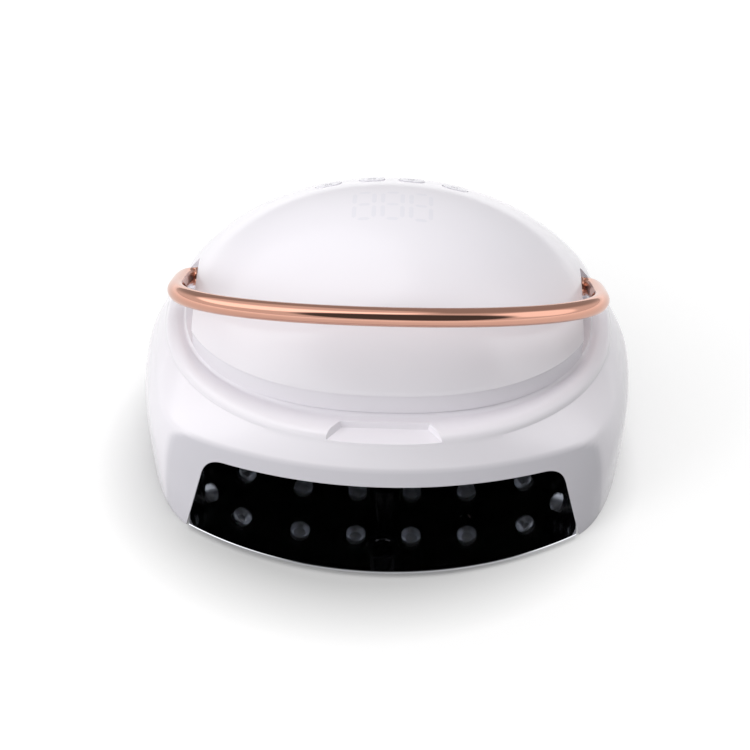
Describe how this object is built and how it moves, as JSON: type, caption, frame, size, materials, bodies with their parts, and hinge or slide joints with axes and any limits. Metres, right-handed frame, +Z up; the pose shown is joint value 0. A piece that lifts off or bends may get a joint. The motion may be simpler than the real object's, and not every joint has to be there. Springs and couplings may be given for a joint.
{
  "type": "uv nail lamp",
  "caption": "Cordless nail curing lamp: white domed body over an open hand cavity with LED rows, mirror base plate, push keys and a swinging rose gold bail handle.",
  "frame": {"origin": "on the ground under the middle of the lamp's bounding box", "axes": "+X to the right as seen from the hand opening, -Y out of the opening, +Z up"},
  "size_m": [0.2538, 0.23, 0.1314],
  "materials": {
    "white_shell": "glossy white moulded shell with a faint lilac cast",
    "white_key": "glossy white key with a thin grey outline",
    "black_liner": "glossy black moulded liner",
    "mirror_plate": "polished stainless steel sheet",
    "rose_gold": "polished rose gold plating on steel tube",
    "led_lens": "clear moulded LED lenses on a dark strip",
    "black_plastic": "black moulded plastic",
    "grey_plastic": "dark grey moulded plastic",
    "circuit_board": "green circuit board",
    "cell_wrap": "shrink wrapped battery cell",
    "plain_steel": "zinc plated steel",
    "black_rubber": "matte black rubber"
  },
  "bodies": {
    "housing": {"top_cover": "white_shell", "housing_shell": "white_shell", "inner_liner": "black_liner", "screw_cup_1": "black_liner", "screw_cup_2": "black_liner", "screw_cup_3": "black_liner", "screw_cup_4": "black_liner", "led_strip_1": "led_lens", "led_strip_2": "led_lens", "led_strip_3": "led_lens", "hand_sensor": "black_plastic", "key_board": "circuit_board", "control_board": "circuit_board", "display_module": "black_plastic", "battery_tray": "grey_plastic", "battery_cell_1": "cell_wrap", "battery_cell_2": "cell_wrap", "battery_cell_3": "cell_wrap", "battery_cell_4": "cell_wrap", "battery_cell_5": "cell_wrap", "battery_cell_6": "cell_wrap", "cell_strap_left": "grey_plastic", "cell_strap_right": "grey_plastic", "charge_board": "circuit_board", "dc_socket": "black_plastic", "switch_bezel": "black_plastic", "friction_washer_left": "black_rubber", "friction_washer_right": "black_rubber", "cover_screw_1": "plain_steel", "cover_screw_2": "plain_steel", "cover_screw_3": "plain_steel", "cover_screw_4": "plain_steel", "liner_screw_1": "plain_steel", "liner_screw_2": "plain_steel", "liner_screw_3": "plain_steel", "liner_screw_4": "plain_steel", "magnet_1": "plain_steel", "magnet_2": "plain_steel", "magnet_3": "plain_steel", "magnet_4": "plain_steel"},
    "plate": {"base_plate": "mirror_plate", "rubber_foot_1": "black_rubber", "rubber_foot_2": "black_rubber", "rubber_foot_3": "black_rubber", "rubber_foot_4": "black_rubber"},
    "handle": {"handle_bail": "rose_gold", "pivot_pin_left": "rose_gold", "pivot_pin_right": "rose_gold", "pivot_nut_left": "plain_steel", "pivot_nut_right": "plain_steel"},
    "key_1_body": {"key_1": "white_key"},
    "key_2_body": {"key_2": "white_key"},
    "key_3_body": {"key_3": "white_key"},
    "key_4_body": {"key_4": "white_key"},
    "rocker": {"power_rocker": "black_plastic"}
  },
  "joints": [
    {"name": "handle_hinge", "type": "hinge", "parent": "housing", "child": "handle", "pos_m": [0, 0.012, 0.084], "axis": [-1, 0, 0], "range_deg": [-35, 62]},
    {"name": "plate_lift", "type": "slide", "parent": "housing", "child": "plate", "axis": [0, 0, -1], "range_m": [0, 0.06]},
    {"name": "key_1_press", "type": "slide", "parent": "housing", "child": "key_1_body", "axis": [0, -0.4305, -0.9026], "range_m": [0, 0.0005], "stiffness_N_per_m": 600},
    {"name": "key_2_press", "type": "slide", "parent": "housing", "child": "key_2_body", "axis": [0, -0.4305, -0.9026], "range_m": [0, 0.0005], "stiffness_N_per_m": 600},
    {"name": "key_3_press", "type": "slide", "parent": "housing", "child": "key_3_body", "axis": [0, -0.4305, -0.9026], "range_m": [0, 0.0005], "stiffness_N_per_m": 600},
    {"name": "key_4_press", "type": "slide", "parent": "housing", "child": "key_4_body", "axis": [0, -0.4305, -0.9026], "range_m": [0, 0.0005], "stiffness_N_per_m": 600},
    {"name": "rocker_tilt", "type": "hinge", "parent": "housing", "child": "rocker", "pos_m": [0.014, 0.1086, 0.032], "axis": [0, 0, 1], "range_deg": [0, 18]}
  ]
}
